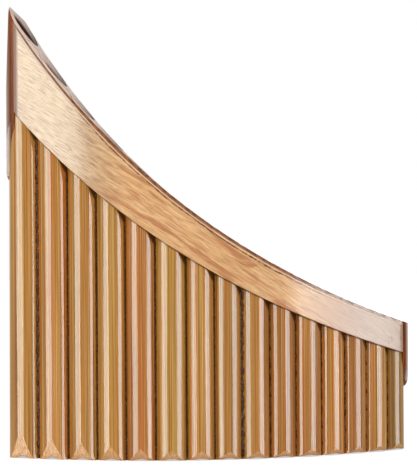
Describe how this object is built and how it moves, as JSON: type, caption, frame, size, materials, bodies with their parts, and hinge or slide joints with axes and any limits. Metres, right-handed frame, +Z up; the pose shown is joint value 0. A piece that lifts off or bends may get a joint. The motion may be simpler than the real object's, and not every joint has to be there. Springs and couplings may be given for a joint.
{
  "type": "pan flute",
  "caption": "Curved pan flute: bamboo pipes glued side by side, falling in length along a smooth blowing line, held by bent wooden bands and end cheeks, each tuned by a sliding cork",
  "frame": {"origin": "under the middle of the flute, at the level of the pipes' feet", "axes": "+Z is up along the pipes, +X runs from the long pipes to the short ones, and the convex front with the wide band looks along -Y, away from the player"},
  "size_m": [0.2374, 0.0412, 0.2626],
  "materials": {
    "bamboo": "clear gloss lacquer",
    "band_wood": "clear gloss lacquer",
    "cheek_wood": "clear gloss lacquer",
    "cork": "matt",
    "glue": "rough"
  },
  "bodies": {
    "flute": {"pipe_01": "bamboo", "pipe_02": "bamboo", "pipe_03": "bamboo", "pipe_04": "bamboo", "pipe_05": "bamboo", "pipe_06": "bamboo", "pipe_07": "bamboo", "pipe_08": "bamboo", "pipe_09": "bamboo", "pipe_10": "bamboo", "pipe_11": "bamboo", "pipe_12": "bamboo", "pipe_13": "bamboo", "pipe_14": "bamboo", "pipe_15": "bamboo", "front_band": "band_wood", "back_band": "band_wood", "long_end_cheek": "cheek_wood", "short_end_cheek": "cheek_wood", "front_glue": "glue", "back_glue": "glue"},
    "cork_01": {"cork_01": "cork"},
    "cork_02": {"cork_02": "cork"},
    "cork_03": {"cork_03": "cork"},
    "cork_04": {"cork_04": "cork"},
    "cork_05": {"cork_05": "cork"},
    "cork_06": {"cork_06": "cork"},
    "cork_07": {"cork_07": "cork"},
    "cork_08": {"cork_08": "cork"},
    "cork_09": {"cork_09": "cork"},
    "cork_10": {"cork_10": "cork"},
    "cork_11": {"cork_11": "cork"},
    "cork_12": {"cork_12": "cork"},
    "cork_13": {"cork_13": "cork"},
    "cork_14": {"cork_14": "cork"},
    "cork_15": {"cork_15": "cork"}
  },
  "joints": [
    {"name": "cork_slide_01", "type": "slide", "parent": "flute", "child": "cork_01", "axis": [0, 0, 1], "range_m": [-0.0054, 0.0054]},
    {"name": "cork_slide_02", "type": "slide", "parent": "flute", "child": "cork_02", "axis": [0, 0, 1], "range_m": [-0.0048, 0.0048]},
    {"name": "cork_slide_03", "type": "slide", "parent": "flute", "child": "cork_03", "axis": [0, 0, 1], "range_m": [-0.0043, 0.0043]},
    {"name": "cork_slide_04", "type": "slide", "parent": "flute", "child": "cork_04", "axis": [0, 0, 1], "range_m": [-0.004, 0.004]},
    {"name": "cork_slide_05", "type": "slide", "parent": "flute", "child": "cork_05", "axis": [0, 0, 1], "range_m": [-0.0036, 0.0036]},
    {"name": "cork_slide_06", "type": "slide", "parent": "flute", "child": "cork_06", "axis": [0, 0, 1], "range_m": [-0.0032, 0.0032]},
    {"name": "cork_slide_07", "type": "slide", "parent": "flute", "child": "cork_07", "axis": [0, 0, 1], "range_m": [-0.0028, 0.0028]},
    {"name": "cork_slide_08", "type": "slide", "parent": "flute", "child": "cork_08", "axis": [0, 0, 1], "range_m": [-0.0027, 0.0027]},
    {"name": "cork_slide_09", "type": "slide", "parent": "flute", "child": "cork_09", "axis": [0, 0, 1], "range_m": [-0.0024, 0.0024]},
    {"name": "cork_slide_10", "type": "slide", "parent": "flute", "child": "cork_10", "axis": [0, 0, 1], "range_m": [-0.0021, 0.0021]},
    {"name": "cork_slide_11", "type": "slide", "parent": "flute", "child": "cork_11", "axis": [0, 0, 1], "range_m": [-0.002, 0.002]},
    {"name": "cork_slide_12", "type": "slide", "parent": "flute", "child": "cork_12", "axis": [0, 0, 1], "range_m": [-0.0017, 0.0017]},
    {"name": "cork_slide_13", "type": "slide", "parent": "flute", "child": "cork_13", "axis": [0, 0, 1], "range_m": [-0.0015, 0.0015]},
    {"name": "cork_slide_14", "type": "slide", "parent": "flute", "child": "cork_14", "axis": [0, 0, 1], "range_m": [-0.0014, 0.0014]},
    {"name": "cork_slide_15", "type": "slide", "parent": "flute", "child": "cork_15", "axis": [0, 0, 1], "range_m": [-0.0013, 0.0013]}
  ]
}
